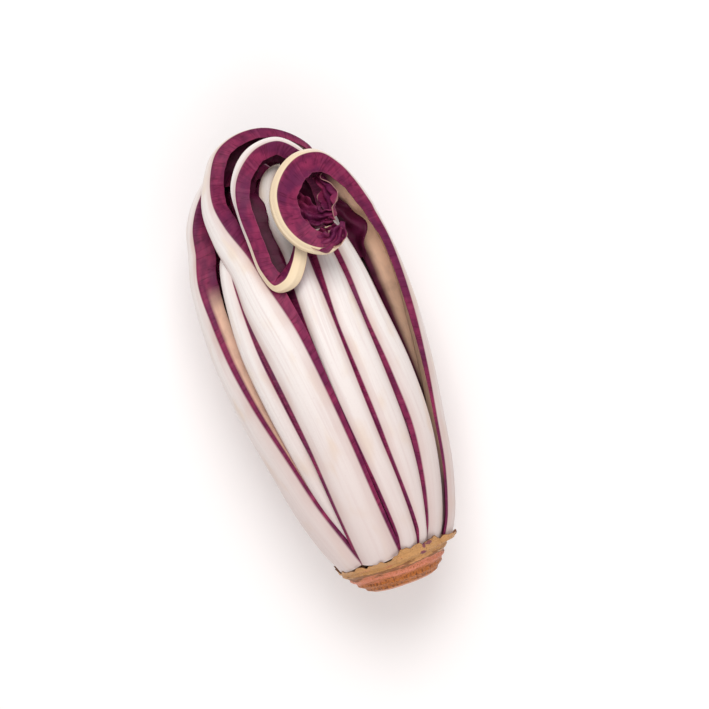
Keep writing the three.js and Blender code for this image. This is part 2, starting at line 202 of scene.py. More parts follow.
# The leaves underneath, from the right side round to the left
BACK_TURNS = [109, 133, 158, 182, 207, 231, 256]
BACK_DIP = [0.4, 0, 0, 3]
SAGGING_DIPS = {2: [0.4, -2.6, -0.6, 2.5], 3: [0.4, -2.8, 1, 4], 4: [0.4, -2.6, -0.6, 2.5]}
BACK_HOOKS = [
    {"radius": 13, "end": 7, "sweep": 250, "drift": 6, "tall": 1.5},
    {"radius": 17, "end": 8, "sweep": 200, "drift": 5, "tall": 1.6},
    {"radius": 12, "end": 6, "sweep": 270, "drift": 5, "tall": 1.3},
    {"radius": 18, "end": 9, "sweep": 190, "drift": 5, "tall": 1.5},
    {"radius": 13, "end": 7, "sweep": 250, "drift": 5, "tall": 1.4},
    {"radius": 17, "end": 8, "sweep": 195, "drift": 5, "tall": 1.6},
    {"radius": 12, "end": 7, "sweep": 230, "drift": 5, "tall": 1.4},
]

TALL_HEART_LEAF = {
    "name": "leaf_heart_1",
    "scale": 0.52,
    "turn": [-30, -30, -28, -24],
    "dip": [0, 1, 0, -1],
    "rib": [4, 5, 4.6, 4, 3.2],
    "left": [0.8, 1.5, 4, 6, 7],
    "right": [0.8, 1.5, 4, 6, 7],
    "fold": [90, 84],
    "eyes": [[0, 158, 6], [0, 163, 4]],
    "route": [
        [-11.5, 149, 21], [-14.5, 160, 18], [-13.5, 170, 14], [-7.5, 177, 10.5], [0, 177, 7.5],
        [5, 171, 5], [6, 163, 3],
    ],
}
HEART_TURNS = [118, 170, 223, 276]


def back_leaf(i, turn):
    sway = 1 if i % 2 else -1
    return {
        "name": f"leaf_back_{i + 1}",
        "turn": [turn, turn, turn + sway, turn + 2 * sway],
        "dip": SAGGING_DIPS.get(i, BACK_DIP),
        "rib": [5, 7, 7.8, 5.4, 3.8],
        "left": [0.8, 1.5, 3, 5, 7],
        "right": [0.8, 1.5, 3, 5, 7],
        "fold": [96, 84],
        "hook": BACK_HOOKS[i],
    }


def heart_leaf(i, turn):
    return {
        "name": f"leaf_heart_{i + 2}",
        "scale": 0.52,
        "reach": 0.84,
        "turn": [turn] * 4,
        "dip": [0, 1, 2, 4],
        "rib": [4, 5, 4.6, 3.4, 2.6],
        "left": [0.8, 1.5, 3, 3.4, 3],
        "right": [0.8, 1.5, 3, 3.4, 3],
        "fold": [100, 88],
        "hook": {"radius": 8, "end": 7, "sweep": 105, "drift": 1},
    }


LEAVES = FRONT_LEAVES + [back_leaf(i, turn) for i, turn in enumerate(BACK_TURNS)]
LEAVES += [TALL_HEART_LEAF] + [heart_leaf(i, turn) for i, turn in enumerate(HEART_TURNS)]


# Curves

# Least lengths that are divided by
SHORTEST_GAP = 1e-4
SHORTEST_VECTOR = 1e-9


def listed(xs, ys, x):
    """Values at x of a smooth curve through listed values: flat past its ends, no overshoot."""
    xs = np.asarray(xs, float)
    ys = np.asarray(ys, float)
    x = np.clip(np.asarray(x, float), xs[0], xs[-1])
    i = np.clip(np.searchsorted(xs, x, side="right") - 1, 0, len(xs) - 2)
    span = xs[i + 1] - xs[i]
    w = (x - xs[i]) / span
    slopes = np.diff(ys) / np.diff(xs)
    bends = np.zeros(len(xs))
    bends[0] = slopes[0]
    bends[-1] = slopes[-1]
    for k in range(1, len(xs) - 1):
        a, b = slopes[k - 1], slopes[k]
        bends[k] = 2 * a * b / (a + b) if a * b > 0 else 0
    return (
        (2 * w**3 - 3 * w**2 + 1) * ys[i]
        + (w**3 - 2 * w**2 + w) * span * bends[i]
        + (3 * w**2 - 2 * w**3) * ys[i + 1]
        + (w**3 - w**2) * span * bends[i + 1]
    )


def through(points, t):
    """Points at shares t of a centripetal Catmull-Rom curve, with the same share for each span."""
    p = np.asarray(points, float)
    place = np.clip(np.asarray(t, float), 0, 1) * (len(p) - 1)
    i = np.minimum(place.astype(int), len(p) - 2)
    w = (place - i)[:, None]
    ends = np.vstack([2 * p[0] - p[1], p, 2 * p[-1] - p[-2]])
    p0, p1, p2, p3 = ends[i], ends[i + 1], ends[i + 2], ends[i + 3]

    def knot_gap(a, b):
        return np.maximum(np.linalg.norm(a - b, axis=-1) ** 0.5, SHORTEST_GAP)[:, None]

    d0, d1, d2 = knot_gap(p0, p1), knot_gap(p1, p2), knot_gap(p2, p3)
    m1 = ((p1 - p0) / d0 - (p2 - p0) / (d0 + d1) + (p2 - p1) / d1) * d1
    m2 = ((p2 - p1) / d1 - (p3 - p1) / (d1 + d2) + (p3 - p2) / d2) * d1
    return p1 + m1 * w + (3 * p2 - 3 * p1 - 2 * m1 - m2) * w**2 + (2 * p1 - 2 * p2 + m1 + m2) * w**3


def unit(v):
    return v / np.maximum(np.linalg.norm(v, axis=-1, keepdims=True), SHORTEST_VECTOR)


def smoothstep(low, high, x):
    w = np.clip((np.asarray(x, float) - low) / (high - low), 0, 1)
    return w * w * (3 - 2 * w)


def rib_line(leaf):
    """Knots of a rib's outer line, and of the line it faces away from."""
    knots = []
    facing = []
    for height in RIB_HEIGHTS:
        turn = math.radians(float(listed(LISTED_HEIGHTS, leaf["turn"], height)))
        radius = float(listed(BARREL_HEIGHTS, BARREL_RADII, height)) * leaf.get("scale", 1)
        radius -= float(listed(LISTED_HEIGHTS, leaf["dip"], height))
        y = RIB_HEIGHTS[0] + (height - RIB_HEIGHTS[0]) * leaf.get("reach", 1)
        knots.append([radius * math.sin(turn), y, radius * math.cos(turn)])
        facing.append([0, y, float(listed(LISTED_HEIGHTS, leaf.get("lean", UPRIGHT), height))])
    if "route" in leaf:
        eyes = np.array(leaf["eyes"], float)
        for i, point in enumerate(leaf["route"]):
            knots.append(point)
            place = (i + 1) / len(leaf["route"]) * (len(eyes) - 1)
            facing.append([np.interp(place, range(len(eyes)), eyes[:, k]) for k in range(3)])
        return np.array(knots, float), np.array(facing, float)
    hook = leaf["hook"]
    start = np.array(knots[-1])
    outward = unit(np.array([start[0], 0, start[2]]))
    onward = np.array([0.0, 1, 0])
    sideways = np.cross(outward, onward)
    centre = start - outward * hook["radius"]
    steps = max(LEAST_CROOK_STEPS, math.floor(hook["sweep"] / CROOK_STEP + 0.5))
    for k in range(1, steps + 1):
        share = k / steps
        angle = math.radians(hook["sweep"] * share)
        reach = hook["radius"] + (hook["end"] - hook["radius"]) * share
        eye = centre + sideways * hook["drift"] * share
        rise = onward * reach * hook.get("tall", 1) * math.sin(angle)
        knots.append(eye + outward * reach * math.cos(angle) + rise)
        facing.append(eye)
    return np.array(knots, float), np.array(facing, float)


# Leaves

SEED_STEP = 17.0
STEPS_PER_SPAN = 11
TANGENT_STEP = 1e-4

# Where the surface has points: shares of a blade's width, close together beside the rib, and
# shares of the half width of a rib's outer and inner face
BLADE_SHARES = np.array([0.03, 0.08, 0.15, 0.25, 0.36, 0.48, 0.6, 0.71, 0.81, 0.89, 0.95, 1])
RIB_SHARES = np.linspace(-1, 1, 21)
INNER_SHARES = np.linspace(-1, 1, 11)

# A rib's outer face is rounded: at 0.6 of its half width it has made 0.3 of its drop.
# Grooves, given by depth, radians for each millimetre across and seed factor, run along it.
RIB_ROUNDING = math.log(0.3) / math.log(0.6)
GROOVES = [(0.1, 2.1, 1), (0.05, 4.7, 2)]

# In the crook the rib has a low crest, and its inner face is narrow at its floor
CREST_PROGRESS = (1.05, 1.3)
CREST_RISE = 0.28
CREST_HALF_WIDTH = 0.16
INNER_WIDTH_SHARE = 0.45
INNER_WIDENING = 0.35
INNER_WIDENING_SHARES = (0.6, 1)
INNER_LIFT_SHARES = (0.55, 1)

# A blade's edge is uneven, and the blade ripples where it is loose. Both are given by share of
# the width, waves for each station and phase factor, and ripples also by the power with which
# they grow away from the rib.
PHASE_PER_SEED = 0.37
UNEVEN_PROGRESS = (0.5, 1.1)
UNEVEN_EDGE = [(0.025, 0.83, 1), (0.012, 2.1, 2.3)]
RIPPLE_PROGRESS = (0.6, 1.1)
RIPPLES = [(0.03, 1.13, 1, 2), (0.008, 3.1, 1.7, 3)]
WIDEST_RIPPLED_BLADE = 9
BLADE_FOOT_SHARE = 1.3
BLADE_EDGE_SHARE = 0.55

# Rounds of smoothing across the outer and the inner outline
OUTER_SMOOTHINGS = 3
INNER_SMOOTHINGS = 2


def column(values):
    return np.asarray(values, float)[:, None]


def waves(count):
    """A sine that has one wave for each whole number."""
    return np.sin(2 * np.pi * count)


def square_to(tangent, direction):
    """Unit vectors nearest to a direction that are at right angles to the tangents."""
    return unit(direction - tangent * np.sum(direction * tangent, axis=1, keepdims=True))


def path_length(points):
    steps = np.linalg.norm(np.diff(points, axis=0), axis=1)
    return np.concatenate([[0], np.cumsum(steps)])


def smoothed(outline, rounds):
    for _ in range(rounds):
        outline[:, 1:-1] = (outline[:, :-2] + 2 * outline[:, 1:-1] + outline[:, 2:]) / 4
    return outline


def round_section(blade, rib, inner_rib):
    """Values round a section: its outer face from right to left, then its inner face back."""
    return np.concatenate([blade[::-1], rib, blade, blade[::-1], inner_rib, blade])


# Facts on the points of a section. The blade's colour is on the blades and on the ribs' edges.
# The edge is the share of the blade's width, and on the rib minus the share of its half width.
BLADE_FACT = round_section(
    np.ones(len(BLADE_SHARES)),
    smoothstep(0.965, 1, np.abs(RIB_SHARES)),
    smoothstep(0.7, 1, np.abs(INNER_SHARES)),
)
EDGE_FACT = round_section(BLADE_SHARES, -np.abs(RIB_SHARES), -np.abs(INNER_SHARES))
OUTER_COUNT = 2 * len(BLADE_SHARES) + len(RIB_SHARES)
INSIDE_FACT = (np.arange(len(EDGE_FACT)) >= OUTER_COUNT).astype(float)


def blade_outlines(side, length, fold, half, drop, station, progress, seed):
    """Outer and inner outlines of a leaf's blade on one side at every step, and its reach."""
    side_shift = side * WAVE_SIDE_SHIFT
    phase = seed * PHASE_PER_SEED + side_shift
    uneven = 0
    for share, rate, factor in UNEVEN_EDGE:
        uneven = uneven + share * waves(station * rate + factor * phase)
    s = BLADE_SHARES[None, :]
    reach = column(length * (1 + uneven * smoothstep(*UNEVEN_PROGRESS, progress))) * s
    wave = column(length * WAVE_SHARE * waves(station * WAVES_PER_STATION + side_shift)) * s**2
    loose = smoothstep(*RIPPLE_PROGRESS, progress) * np.minimum(length, WIDEST_RIPPLED_BLADE)
    for share, rate, factor, power in RIPPLES:
        wave = wave + column(loose * share * waves(station * rate + factor * phase)) * s**power
    cos = column(np.cos(fold))
    sin = column(np.sin(fold))
    x = column(side * half) + side * cos * reach - side * sin * wave
    y = column(-drop) - sin * reach - cos * wave
    depth = BLADE_THICKNESS * (BLADE_FOOT_SHARE + (BLADE_EDGE_SHARE - BLADE_FOOT_SHARE) * s)
    outer = np.stack([x, y], -1)
    inner = np.stack([x - side * sin * depth, y - cos * depth], -1)
    return outer, inner, reach


def rib_outlines(half, drop, thick, progress, seed):
    """Outer and inner outlines of a leaf's rib at every step."""
    v = RIB_SHARES[None, ::-1]
    relief = CREST_RISE * np.exp(-((v / CREST_HALF_WIDTH) ** 2))
    relief = relief * column(smoothstep(*CREST_PROGRESS, progress))
    for depth, rate, factor in GROOVES:
        relief = relief + depth * np.sin(column(half) * v * rate + factor * seed)
    y = relief * (1 - v**2) - column(drop) * np.abs(v) ** RIB_ROUNDING
    outer = np.stack([column(half) * v, y], -1)

    w = INNER_SHARES[None, :]
    width = INNER_WIDTH_SHARE + INNER_WIDENING * smoothstep(*INNER_WIDENING_SHARES, np.abs(w))
    lift = smoothstep(*INNER_LIFT_SHARES, np.abs(w))
    floor = column(-np.maximum(thick, drop + BLADE_THICKNESS))
    edge = column(-drop) - BLADE_THICKNESS
    inner = np.stack([column(half) * w * width, floor + (edge - floor) * lift], -1)
    return outer, inner


def leaf_sections(leaf, seed):
    """A leaf's outer and inner outline across its rib at every step, as points with facts."""
    knots, facing = rib_line(leaf)
    spans = len(knots) - 1
    station = np.linspace(0, spans, spans * STEPS_PER_SPAN + 1)
    crook = 1 + (station - BODY_SPANS) / (spans - BODY_SPANS)
    progress = np.where(station <= BODY_SPANS, station / BODY_SPANS, crook)
    t = station / spans
    point = through(knots, t)
    ahead = through(knots, np.minimum(t + TANGENT_STEP, 1))
    behind = through(knots, np.maximum(t - TANGENT_STEP, 0))
    tangent = unit(ahead - behind)
    outward = point - through(facing, t)
    room = np.linalg.norm(outward, axis=1)
    outward = square_to(tangent, outward)
    across = np.cross(tangent, outward)

    def at(values, tip):
        blunt = values[-1] * BLUNT_SHARE
        return listed(LISTED_PROGRESS + [BLUNT_PROGRESS, 2], values + [blunt, tip], progress)

    half = at(leaf["rib"], TIP_HALF_WIDTH)
    drop = half * listed(DROP_PROGRESS, DROP_SHARES, progress)
    thick = listed(THINNING_PROGRESS, THINNING_SHARES, progress)
    thick = thick * np.minimum(RIB_THICKNESS, THINNEST_RIB + half * THICKNESS_PER_WIDTH)
    fold = np.radians(listed(FOLD_PROGRESS, leaf["fold"], progress))
    widest = np.maximum(room * ROOM_SHARE - drop, NARROWEST_BLADE)

    blades = []
    for side, wanted in ((1, leaf["right"]), (-1, leaf["left"])):
        length = np.minimum(at(wanted, TIP_BLADE), widest)
        blades.append(blade_outlines(side, length, fold, half, drop, station, progress, seed))
    (right, right_inner, right_reach), (left, left_inner, left_reach) = blades
    rib, rib_inner = rib_outlines(half, drop, thick, progress, seed)
    outer = np.concatenate([right[:, ::-1], rib, left], 1)
    inner = np.concatenate([left_inner[:, ::-1], rib_inner, right_inner], 1)
    outer = smoothed(outer, OUTER_SMOOTHINGS)
    inner = smoothed(inner, INNER_SMOOTHINGS)
    section = np.concatenate([outer, inner], 1)

    spot = point[:, None] + across[:, None] * section[..., :1] + outward[:, None] * section[..., 1:]
    spot[..., 1] = np.maximum(spot[..., 1], RIB_HEIGHTS[0])
    spot[..., 2] = np.maximum(spot[..., 2], -AXIS_ABOVE_FLOOR)

    right_side = column(half) + right_reach
    left_side = -column(half) - left_reach
    sidewise = np.concatenate(
        [
            right_side[:, ::-1], column(half) * RIB_SHARES[None, ::-1], left_side,
            left_side[:, ::-1], column(half) * INNER_SHARES[None, :], right_side,
        ],
        1,
    )
    name = leaf["name"]
    tone = tone_shares(name, column(progress), EDGE_FACT, INSIDE_FACT, sidewise)
    blade = np.maximum(BLADE_FACT, red_tip_and_shade_share(name, column(progress)))
    zone = (blade, EDGE_FACT, INSIDE_FACT)
    return with_facts(spot, path_length(point), sidewise, seed, zone, tone)


def with_facts(spot, arc, sidewise, seed, zone, tone):
    """A leaf's points with the facts that its material reads."""
    shape = spot.shape[:2]

    def packed(*values):
        return np.stack([np.broadcast_to(value, shape) for value in values], -1)

    return {
        "spot": spot,
        "place": packed(arc[:, None], sidewise, seed * SEED_STEP),
        "zone": packed(*zone),
        "tone": packed(*tone),
    }


def tone_shares(name, progress, edge, inside, sidewise):
    """How cream a leaf's rib is, how beige its blades are, and whether their edges are pale.

    Beige are the inner faces of the two outermost leaves that the viewer sees into.
    """
    if name == "leaf_right_spiral":
        stretch = smoothstep(0.2, 0.4, progress) * (1 - smoothstep(1.12, 1.25, progress))
        near_rib = 1 - smoothstep(0.5, 0.85, edge)
        return smoothstep(1.25, 1.45, progress), inside * near_rib * stretch, 0
    if name == "leaf_left_edge":
        stretch = smoothstep(0.3, 0.4, progress) * (1 - smoothstep(0.86, 1, progress))
        margin = smoothstep(0.3, 0.42, edge) * (sidewise > 0)
        return 0, 0.8 * np.maximum(margin, inside) * stretch, 0
    if name == "leaf_heart_loop":
        return smoothstep(1.5, 1.68, progress), 0, 0
    return 0.2 * smoothstep(1.2, 1.6, progress), 0, 0


def red_tip_and_shade_share(name, progress):
    """How red a rib is: the ribs of the heart's small leaves are painted red where they leave the
    barrel, as painted shade, so that the gaps between the ribs in front of them read dark.

    The right spiral's rib turns red only at its very tip.
    """
    if name == "leaf_right_spiral":
        return smoothstep(1.88, 1.94, progress)
    # Painted shade: the heart leaves' ribs take the blades' red
    if name[-1].isdigit() and "heart" in name:
        return smoothstep(0.75, 1, progress)
    return 0


# Crumpled ends are thin closed sheets with folds. A fold is given by its height, its radians
# along and across the sheet, its seed factor, the share of its height that it has in the
# middle, and the power with which it grows towards the edge.
SHEET_STEPS = 90
SHEET_SHARES = np.linspace(-1, 1, 37)
SHEET_FOLDS = [
    (1.6, 11, 8.5, 1, 0.35, 1),
    (0.88, 16.8, -8.4, 2.3, 0, 1),
    (0.32, 23.5, 9.4, 0.7, 0, 2),
]
# How a sheet's width varies: share, radians along the sheet, seed factor
SHEET_PINCHES = [(0.16, 13, 1), (0.07, 30.5, 0)]
SHEET_HALF_THICKNESS = 0.28
SHEET_THINNING = 0.4


def crumpled_blade(sheet, seed):
    """A crumpled end of a leaf, along the sheet's points, that faces its way."""
    t = np.linspace(0, 1, SHEET_STEPS)
    line = through(sheet["points"], t)
    tangent = unit(np.gradient(line, axis=0))
    normal = square_to(tangent, np.broadcast_to(np.asarray(sheet["facing"], float), line.shape))
    across = np.cross(tangent, normal)
    widths = sheet["widths"]
    width = column(listed(np.linspace(0, 1, len(widths)), widths, t))
    u = column(t)
    v = SHEET_SHARES[None, :]
    rise = 0
    for height, along, sideways, factor, least, power in SHEET_FOLDS:
        growth = least + (1 - least) * np.abs(v) ** power
        rise = rise + height * growth * np.sin(along * u + sideways * v + factor * seed)
    pinch = 1
    for share, along, factor in SHEET_PINCHES:
        pinch = pinch + share * np.sin(along * u + factor * seed)
    middle = line[:, None] + across[:, None] * (v * width * pinch)[..., None]
    middle = middle + normal[:, None] * rise[..., None]
    bent = unit(np.cross(np.gradient(middle, axis=1), np.gradient(middle, axis=0)))
    thick = SHEET_HALF_THICKNESS * (1 - SHEET_THINNING * np.abs(v))[..., None]
    spot = np.concatenate([middle + bent * thick, (middle - bent * thick)[:, ::-1]], 1)
    edge = np.concatenate([np.abs(v), np.abs(v)], 1)
    sidewise = np.concatenate([v * width, (v * width)[:, ::-1]], 1)
    zone = (1, edge, sheet["dark"])
    return with_facts(spot, path_length(line), sidewise, seed, zone, (0, 0, sheet["pale"]))


def head_to_row(points):
    """Points of the head's own frame, in millimetres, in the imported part's frame, in metres."""
    return (np.asarray(points, float) + SHIFT) * MM


CUT_END_HEIGHT = 0.3


def shift_of_head():
    """The head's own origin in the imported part's frame, in millimetres, by the root's cut end."""
    corners = np.array([v.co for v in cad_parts["root"].data.vertices]) / MM
    low = corners[:, 1].min()
    cut = corners[corners[:, 1] < low + CUT_END_HEIGHT]
    middle = (cut[:, 0].min() + cut[:, 0].max()) / 2
    return np.array([middle - ROOT_SHIFT, low, AXIS_ABOVE_FLOOR])


SHIFT = shift_of_head()


def shell_faces(rows, ring, first):
    """Faces of a closed shell of rings of points, with flat caps on the first and last ring."""
    faces = []
    for i in range(rows - 1):
        for j in range(ring):
            k = (j + 1) % ring
            corners = (i * ring + j, i * ring + k, (i + 1) * ring + k, (i + 1) * ring + j)
            faces.append(tuple(first + c for c in corners))
    for row, flip in ((0, True), (rows - 1, False)):
        base = first + row * ring
        outer, inner = 0, ring - 1
        while inner - outer > 1:
            corners = (base + outer, base + outer + 1, base + inner - 1, base + inner)
            if inner - outer == 2:
                corners = corners[:2] + corners[3:]
            faces.append(corners if flip else corners[::-1])
            outer += 1
            inner -= 1
    return faces


def shells_mesh(name, shells):
    """One mesh of closed shells, each given by its rows of points in the head's own frame."""
    faces = []
    count = 0
    for spots in shells:
        faces += shell_faces(*spots.shape[:2], count)
        count += spots.shape[0] * spots.shape[1]
    points = np.concatenate([spots.reshape(-1, 3) for spots in shells])
    mesh = bpy.data.meshes.new(name)
    mesh.from_pydata(head_to_row(points).tolist(), [], faces)
    mesh.update()
    mesh.polygons.foreach_set("use_smooth", [True] * len(mesh.polygons))
    return mesh


def add_fact(mesh, name, values):
    """A vector on every point, for a material to read."""
    attribute = mesh.attributes.new(name, "FLOAT_VECTOR", "POINT")
    attribute.data.foreach_set("vector", np.asarray(values, np.float32).ravel())


def add_piece(name, mesh, material, node):
    piece = bpy.data.objects.new(name, mesh)
    bpy.context.scene.collection.objects.link(piece)
    mesh.materials.append(material)
    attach(piece, "root")
    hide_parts(node)
    return piece


# Materials

class Nodes:
    """A short way to write a material's node tree."""

    def __init__(self, name):
        self.material = bpy.data.materials.new(name)
        self.material.use_nodes = True
        self.tree = self.material.node_tree
        self.surface = self.tree.nodes["Principled BSDF"]

    def feed(self, socket, value):
        if isinstance(value, bpy.types.NodeSocket):
            self.tree.links.new(value, socket)
        else:
            socket.default_value = value

    def fact(self, name):
        node = self.tree.nodes.new("ShaderNodeAttribute")
        node.attribute_name = name
        parts = self.tree.nodes.new("ShaderNodeSeparateXYZ")
        self.tree.links.new(node.outputs["Vector"], parts.inputs[0])
        return list(parts.outputs)

    def vector(self, x, y, z):
        node = self.tree.nodes.new("ShaderNodeCombineXYZ")
        for socket, value in zip(node.inputs, (x, y, z)):
            self.feed(socket, value)
        return node.outputs[0]

    def math(self, operation, a, b=0.0):
        node = self.tree.nodes.new("ShaderNodeMath")
        node.operation = operation
        self.feed(node.inputs[0], a)
        self.feed(node.inputs[1], b)
        return node.outputs[0]

    def ramp(self, value, low, high, start=0.0, end=1.0):
        node = self.tree.nodes.new("ShaderNodeMapRange")
        node.interpolation_type = "SMOOTHSTEP"
        self.feed(node.inputs["Value"], value)
        limits = {"From Min": low, "From Max": high, "To Min": start, "To Max": end}
        for name, number in limits.items():
            self.feed(node.inputs[name], number)
        return node.outputs[0]

    def mix(self, share, a, b):
        node = self.tree.nodes.new("ShaderNodeMix")
        node.data_type = "RGBA"
        self.feed(node.inputs["Factor"], share)
        for socket, value in ((node.inputs[6], a), (node.inputs[7], b)):
            self.feed(socket, value)
        return node.outputs[2]

    def noise(self, where, scale, detail=2.0, roughness=0.5):
        node = self.tree.nodes.new("ShaderNodeTexNoise")
        self.feed(node.inputs["Vector"], where)
        self.feed(node.inputs["Scale"], scale)
        self.feed(node.inputs["Detail"], detail)
        self.feed(node.inputs["Roughness"], roughness)
        return node.outputs["Fac"]

    def bump(self, height, strength, distance):
        node = self.tree.nodes.new("ShaderNodeBump")
        self.feed(node.inputs["Height"], height)
        self.feed(node.inputs["Strength"], strength)
        self.feed(node.inputs["Distance"], distance)
        self.tree.links.new(node.outputs[0], self.surface.inputs["Normal"])


def colour(code):
    """A screen colour code as linear light."""
    parts = [int(code[i:i + 2], 16) / 255 for i in (0, 2, 4)]
    return tuple(c / 12.92 if c <= 0.04045 else ((c + 0.055) / 1.055) ** 2.4 for c in parts) + (1.0,)


RIB_WHITE = colour("EEE6E2")
RIB_STREAK = colour("D6C3C0")
RIB_BEIGE = colour("E6D0BA")
# Painted shade: on the ribs' margins and towards their feet
RIB_MARGIN_SHADE = colour("D0B6AF")
RIB_FOOT_SHADE = colour("CFB8B3")
RIB_CREAM = colour("ECD4AE")
BLADE_RED = colour("88294F")
BLADE_DARK = colour("661A40")
BLADE_PLUM = colour("5C1C44")
BLADE_PALE = colour("A04868")
BLADE_VEIN = colour("4A0A28")
# Painted shade on the blades' inner faces
INNER_PAINTED_SHADE = colour("430A24")
INNER_BEIGE = colour("F4CBAC")
ROOT_TAN = colour("D29A60")
ROOT_PINK = colour("E68C70")
ROOT_ORANGE = colour("C4702A")
ROOT_BROWN = colour("6A3010")
ROOT_SCAR = colour("7A2350")
ROOT_END = colour("E8B79C")

RIB_ROUGHNESS = 0.5
BLADE_ROUGHNESS = 0.46
LEAF_SPECULAR = 0.14


def leaf_material():
    n = Nodes("leaf_skin")
    along, across, seed = n.fact("leaf_place")
    blade, edge, inside = n.fact("leaf_zone")
    cream, beige, pale_edge = n.fact("leaf_tone")

    def noise(down, down_scale, across_scale, detail):
        down = n.math("MULTIPLY", down, down_scale)
        sideways = n.math("MULTIPLY", across, across_scale)
        return n.noise(n.vector(down, sideways, seed), 1.0, detail)

    # White rib, with streaks and warm patches, painted shade on its margins beside the red lines, and
    # greyer pink painted shade that is strongest at its foot, where the ribs tuck into the root
    streaks = noise(along, 0.025, 0.8, 4.0)
    patches = noise(along, 0.05, 0.12, 2.0)
    fine = noise(along, 0.9, 0.9, 3.0)
    rib = n.mix(n.ramp(streaks, 0.45, 0.72, 0.0, 0.4), RIB_WHITE, RIB_STREAK)
    rib = n.mix(n.ramp(patches, 0.5, 0.75, 0.0, 0.7), rib, RIB_BEIGE)
    rib = n.mix(n.ramp(fine, 0.55, 0.8, 0.0, 0.25), rib, RIB_STREAK)
    # Painted shade on the rib's margins, beside the red lines
    margin = n.ramp(n.math("ABSOLUTE", edge), 0.35, 0.95)
    margin = n.math("MULTIPLY", margin, n.ramp(patches, 0.35, 0.6, 0.5, 0.85))
    rib = n.mix(margin, rib, RIB_MARGIN_SHADE)
    # Painted shade, greyer pink, strongest at the foot where the ribs tuck into the root and gone 115
    # mm along
    rib = n.mix(n.ramp(along, 5.0, 115.0, 0.6, 0.0), rib, RIB_FOOT_SHADE)
    rib = n.mix(n.math("MULTIPLY", cream, 0.85), rib, RIB_CREAM)
    rib = n.mix(n.math("MULTIPLY", inside, beige), rib, INNER_BEIGE)

    # Red blade, with clouds, plum swathes and side veins that slant away from the rib, and painted
    # shade on its inner faces, which face into the head
    slant = n.math("SUBTRACT", along, n.math("MULTIPLY", n.math("ABSOLUTE", across), 0.35))
    veins = noise(slant, 0.4, 0.04, 3.0)
    clouds = noise(along, 0.16, 0.3, 3.0)
    swathes = noise(along, 0.045, 0.1, 2.0)
    red = n.mix(n.ramp(clouds, 0.3, 0.65), BLADE_DARK, BLADE_RED)
    red = n.mix(n.ramp(swathes, 0.45, 0.62, 0.0, 0.7), red, BLADE_PLUM)
    red = n.mix(n.ramp(veins, 0.55, 0.75, 0.0, 0.3), red, BLADE_PALE)
    vein = n.math("ABSOLUTE", n.math("SUBTRACT", veins, 0.5))
    red = n.mix(n.ramp(vein, 0.0, 0.025, 0.6, 0.0), red, BLADE_VEIN)
    red = n.mix(n.ramp(edge, 0.93, 1.0, 0.0, 0.35), red, BLADE_PALE)
    red = n.mix(n.math("MULTIPLY", pale_edge, n.ramp(edge, 0.95, 1.0, 0.0, 0.9)), red, RIB_CREAM)
    # Painted shade on the blades' inner faces, which face into the head
    inner_shade = n.mix(n.ramp(clouds, 0.3, 0.7, 0.0, 0.6), INNER_PAINTED_SHADE, BLADE_DARK)
    red = n.mix(inside, red, inner_shade)
    red = n.mix(n.math("MULTIPLY", beige, n.ramp(clouds, 0.2, 0.6, 0.75, 1.0)), red, INNER_BEIGE)

    n.feed(n.surface.inputs["Base Color"], n.mix(blade, rib, red))
    roughness = n.ramp(blade, 0.0, 1.0, RIB_ROUGHNESS, BLADE_ROUGHNESS)
    n.feed(n.surface.inputs["Roughness"], roughness)
    n.surface.inputs["Specular IOR Level"].default_value = LEAF_SPECULAR
    grooves = n.math("MULTIPLY", streaks, n.ramp(blade, 0.0, 1.0, 0.6, 0.0))
    relief = n.math("ADD", grooves, n.math("MULTIPLY", veins, n.math("MULTIPLY", blade, 0.7)))
    n.bump(relief, 0.5, 0.0006)
    return n.material


# Dark red scars on the root's rim: distance to the right, height, and their half sizes
ROOT_SCARS = [(15.6, 13.8, 1.5, 0.8), (12.4, 11, 1.3, 0.7), (13.4, 13.4, 0.7, 1.2)]


